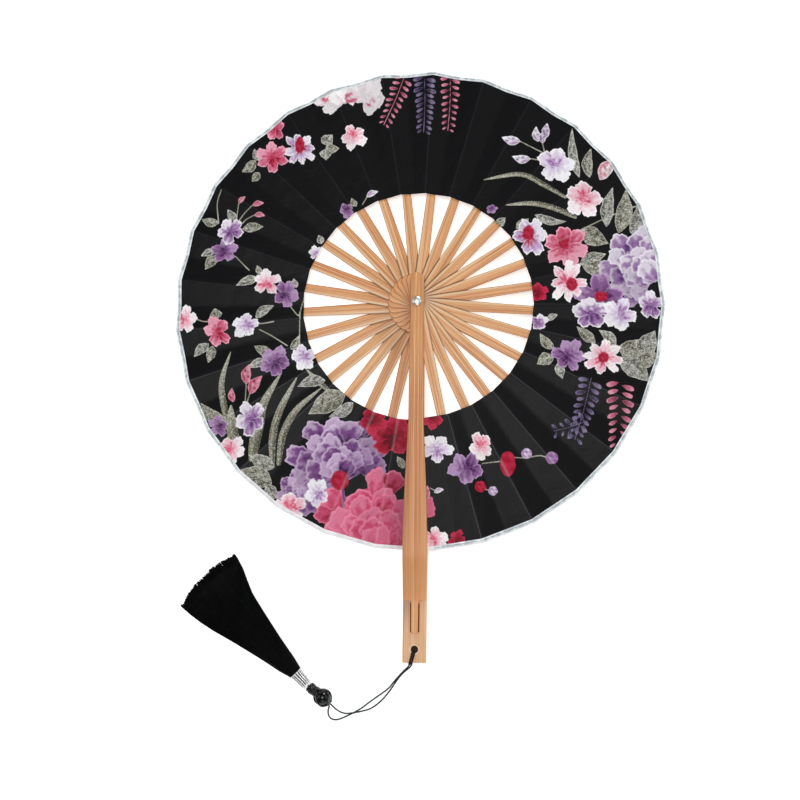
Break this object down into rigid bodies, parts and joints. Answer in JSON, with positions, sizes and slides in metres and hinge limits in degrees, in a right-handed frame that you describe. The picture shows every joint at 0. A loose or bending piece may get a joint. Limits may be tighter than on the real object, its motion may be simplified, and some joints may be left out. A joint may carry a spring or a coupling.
{
  "type": "folding fan",
  "caption": "Round folding fan: bamboo ribs on one rivet, a pleated printed satin leaf, a two-part handle that meets when the fan is fully open, and a tassel on a cord.",
  "frame": {"origin": "on the rivet's axis, at the flat underside of the rivet's rear cap, level with the rear guard's underside", "axes": "+Z out of the printed side and along the rivet, -Y from the rivet towards the handle's end"},
  "size_m": [0.2393, 0.3198, 0.0178],
  "materials": {
    "guard_bamboo": "satin varnished bamboo, grain along the handle",
    "rib_bamboo": "smooth bamboo, grain along the rib",
    "printed_satin": "black satin with a printed flower pattern",
    "silver_binding": "pale silver-blue woven edge binding",
    "nickel": "bright nickel",
    "green_black_cord": "thin twisted cord, green-black",
    "black_knot": "glossy black knotted cord",
    "silver_cap": "polished silver-plated metal, fluted",
    "black_silk": "black silk threads"
  },
  "bodies": {
    "rear_guard": {"rear_guard": "guard_bamboo", "leaf": "printed_satin", "leaf_hem": "silver_binding", "rivet_pin": "nickel", "rivet_head_front": "nickel", "rivet_cap_rear": "nickel", "cord_hitch": "green_black_cord", "cord_strand_upper": "green_black_cord", "cord_strand_lower": "green_black_cord", "cord_knot": "black_knot", "tassel_cap": "silver_cap", "tassel_skirt": "black_silk"},
    "rib_01": {"rib_01": "rib_bamboo"},
    "rib_02": {"rib_02": "rib_bamboo"},
    "rib_03": {"rib_03": "rib_bamboo"},
    "rib_04": {"rib_04": "rib_bamboo"},
    "rib_05": {"rib_05": "rib_bamboo"},
    "rib_06": {"rib_06": "rib_bamboo"},
    "rib_07": {"rib_07": "rib_bamboo"},
    "rib_08": {"rib_08": "rib_bamboo"},
    "rib_09": {"rib_09": "rib_bamboo"},
    "rib_10": {"rib_10": "rib_bamboo"},
    "rib_11": {"rib_11": "rib_bamboo"},
    "rib_12": {"rib_12": "rib_bamboo"},
    "rib_13": {"rib_13": "rib_bamboo"},
    "rib_14": {"rib_14": "rib_bamboo"},
    "rib_15": {"rib_15": "rib_bamboo"},
    "rib_16": {"rib_16": "rib_bamboo"},
    "rib_17": {"rib_17": "rib_bamboo"},
    "rib_18": {"rib_18": "rib_bamboo"},
    "rib_19": {"rib_19": "rib_bamboo"},
    "rib_20": {"rib_20": "rib_bamboo"},
    "rib_21": {"rib_21": "rib_bamboo"},
    "rib_22": {"rib_22": "rib_bamboo"},
    "rib_23": {"rib_23": "rib_bamboo"},
    "rib_24": {"rib_24": "rib_bamboo"},
    "rib_25": {"rib_25": "rib_bamboo"},
    "rib_26": {"rib_26": "rib_bamboo"},
    "rib_27": {"rib_27": "rib_bamboo"},
    "rib_28": {"rib_28": "rib_bamboo"},
    "front_guard": {"front_guard": "guard_bamboo"}
  },
  "joints": [
    {"name": "rib_01_fold", "type": "hinge", "parent": "rear_guard", "child": "rib_01", "pos_m": [0, 0, 0], "axis": [0, 0, 1], "range_deg": [0, 12.41], "deforming": ["leaf", "leaf_hem"]},
    {"name": "rib_02_fold", "type": "hinge", "parent": "rib_01", "child": "rib_02", "pos_m": [0, 0, 0], "axis": [0, 0, 1], "range_deg": [0, 12.41]},
    {"name": "rib_03_fold", "type": "hinge", "parent": "rib_02", "child": "rib_03", "pos_m": [0, 0, 0], "axis": [0, 0, 1], "range_deg": [0, 12.41]},
    {"name": "rib_04_fold", "type": "hinge", "parent": "rib_03", "child": "rib_04", "pos_m": [0, 0, 0], "axis": [0, 0, 1], "range_deg": [0, 12.41]},
    {"name": "rib_05_fold", "type": "hinge", "parent": "rib_04", "child": "rib_05", "pos_m": [0, 0, 0], "axis": [0, 0, 1], "range_deg": [0, 12.41]},
    {"name": "rib_06_fold", "type": "hinge", "parent": "rib_05", "child": "rib_06", "pos_m": [0, 0, 0], "axis": [0, 0, 1], "range_deg": [0, 12.41]},
    {"name": "rib_07_fold", "type": "hinge", "parent": "rib_06", "child": "rib_07", "pos_m": [0, 0, 0], "axis": [0, 0, 1], "range_deg": [0, 12.41]},
    {"name": "rib_08_fold", "type": "hinge", "parent": "rib_07", "child": "rib_08", "pos_m": [0, 0, 0], "axis": [0, 0, 1], "range_deg": [0, 12.41]},
    {"name": "rib_09_fold", "type": "hinge", "parent": "rib_08", "child": "rib_09", "pos_m": [0, 0, 0], "axis": [0, 0, 1], "range_deg": [0, 12.41]},
    {"name": "rib_10_fold", "type": "hinge", "parent": "rib_09", "child": "rib_10", "pos_m": [0, 0, 0], "axis": [0, 0, 1], "range_deg": [0, 12.41]},
    {"name": "rib_11_fold", "type": "hinge", "parent": "rib_10", "child": "rib_11", "pos_m": [0, 0, 0], "axis": [0, 0, 1], "range_deg": [0, 12.41]},
    {"name": "rib_12_fold", "type": "hinge", "parent": "rib_11", "child": "rib_12", "pos_m": [0, 0, 0], "axis": [0, 0, 1], "range_deg": [0, 12.41]},
    {"name": "rib_13_fold", "type": "hinge", "parent": "rib_12", "child": "rib_13", "pos_m": [0, 0, 0], "axis": [0, 0, 1], "range_deg": [0, 12.41]},
    {"name": "rib_14_fold", "type": "hinge", "parent": "rib_13", "child": "rib_14", "pos_m": [0, 0, 0], "axis": [0, 0, 1], "range_deg": [0, 12.41]},
    {"name": "rib_15_fold", "type": "hinge", "parent": "rib_14", "child": "rib_15", "pos_m": [0, 0, 0], "axis": [0, 0, 1], "range_deg": [0, 12.41]},
    {"name": "rib_16_fold", "type": "hinge", "parent": "rib_15", "child": "rib_16", "pos_m": [0, 0, 0], "axis": [0, 0, 1], "range_deg": [0, 12.41]},
    {"name": "rib_17_fold", "type": "hinge", "parent": "rib_16", "child": "rib_17", "pos_m": [0, 0, 0], "axis": [0, 0, 1], "range_deg": [0, 12.41]},
    {"name": "rib_18_fold", "type": "hinge", "parent": "rib_17", "child": "rib_18", "pos_m": [0, 0, 0], "axis": [0, 0, 1], "range_deg": [0, 12.41]},
    {"name": "rib_19_fold", "type": "hinge", "parent": "rib_18", "child": "rib_19", "pos_m": [0, 0, 0], "axis": [0, 0, 1], "range_deg": [0, 12.41]},
    {"name": "rib_20_fold", "type": "hinge", "parent": "rib_19", "child": "rib_20", "pos_m": [0, 0, 0], "axis": [0, 0, 1], "range_deg": [0, 12.41]},
    {"name": "rib_21_fold", "type": "hinge", "parent": "rib_20", "child": "rib_21", "pos_m": [0, 0, 0], "axis": [0, 0, 1], "range_deg": [0, 12.41]},
    {"name": "rib_22_fold", "type": "hinge", "parent": "rib_21", "child": "rib_22", "pos_m": [0, 0, 0], "axis": [0, 0, 1], "range_deg": [0, 12.41]},
    {"name": "rib_23_fold", "type": "hinge", "parent": "rib_22", "child": "rib_23", "pos_m": [0, 0, 0], "axis": [0, 0, 1], "range_deg": [0, 12.41]},
    {"name": "rib_24_fold", "type": "hinge", "parent": "rib_23", "child": "rib_24", "pos_m": [0, 0, 0], "axis": [0, 0, 1], "range_deg": [0, 12.41]},
    {"name": "rib_25_fold", "type": "hinge", "parent": "rib_24", "child": "rib_25", "pos_m": [0, 0, 0], "axis": [0, 0, 1], "range_deg": [0, 12.41]},
    {"name": "rib_26_fold", "type": "hinge", "parent": "rib_25", "child": "rib_26", "pos_m": [0, 0, 0], "axis": [0, 0, 1], "range_deg": [0, 12.41]},
    {"name": "rib_27_fold", "type": "hinge", "parent": "rib_26", "child": "rib_27", "pos_m": [0, 0, 0], "axis": [0, 0, 1], "range_deg": [0, 12.41]},
    {"name": "rib_28_fold", "type": "hinge", "parent": "rib_27", "child": "rib_28", "pos_m": [0, 0, 0], "axis": [0, 0, 1], "range_deg": [0, 12.41]},
    {"name": "front_guard_fold", "type": "hinge", "parent": "rib_28", "child": "front_guard", "pos_m": [0, 0, 0], "axis": [0, 0, 1], "range_deg": [0, 12.41]}
  ],
  "couplings": [
    {"joint": "rib_02_fold", "follows": "rib_01_fold", "ratio": 1},
    {"joint": "rib_03_fold", "follows": "rib_01_fold", "ratio": 1},
    {"joint": "rib_04_fold", "follows": "rib_01_fold", "ratio": 1},
    {"joint": "rib_05_fold", "follows": "rib_01_fold", "ratio": 1},
    {"joint": "rib_06_fold", "follows": "rib_01_fold", "ratio": 1},
    {"joint": "rib_07_fold", "follows": "rib_01_fold", "ratio": 1},
    {"joint": "rib_08_fold", "follows": "rib_01_fold", "ratio": 1},
    {"joint": "rib_09_fold", "follows": "rib_01_fold", "ratio": 1},
    {"joint": "rib_10_fold", "follows": "rib_01_fold", "ratio": 1},
    {"joint": "rib_11_fold", "follows": "rib_01_fold", "ratio": 1},
    {"joint": "rib_12_fold", "follows": "rib_01_fold", "ratio": 1},
    {"joint": "rib_13_fold", "follows": "rib_01_fold", "ratio": 1},
    {"joint": "rib_14_fold", "follows": "rib_01_fold", "ratio": 1},
    {"joint": "rib_15_fold", "follows": "rib_01_fold", "ratio": 1},
    {"joint": "rib_16_fold", "follows": "rib_01_fold", "ratio": 1},
    {"joint": "rib_17_fold", "follows": "rib_01_fold", "ratio": 1},
    {"joint": "rib_18_fold", "follows": "rib_01_fold", "ratio": 1},
    {"joint": "rib_19_fold", "follows": "rib_01_fold", "ratio": 1},
    {"joint": "rib_20_fold", "follows": "rib_01_fold", "ratio": 1},
    {"joint": "rib_21_fold", "follows": "rib_01_fold", "ratio": 1},
    {"joint": "rib_22_fold", "follows": "rib_01_fold", "ratio": 1},
    {"joint": "rib_23_fold", "follows": "rib_01_fold", "ratio": 1},
    {"joint": "rib_24_fold", "follows": "rib_01_fold", "ratio": 1},
    {"joint": "rib_25_fold", "follows": "rib_01_fold", "ratio": 1},
    {"joint": "rib_26_fold", "follows": "rib_01_fold", "ratio": 1},
    {"joint": "rib_27_fold", "follows": "rib_01_fold", "ratio": 1},
    {"joint": "rib_28_fold", "follows": "rib_01_fold", "ratio": 1},
    {"joint": "front_guard_fold", "follows": "rib_01_fold", "ratio": 1}
  ]
}
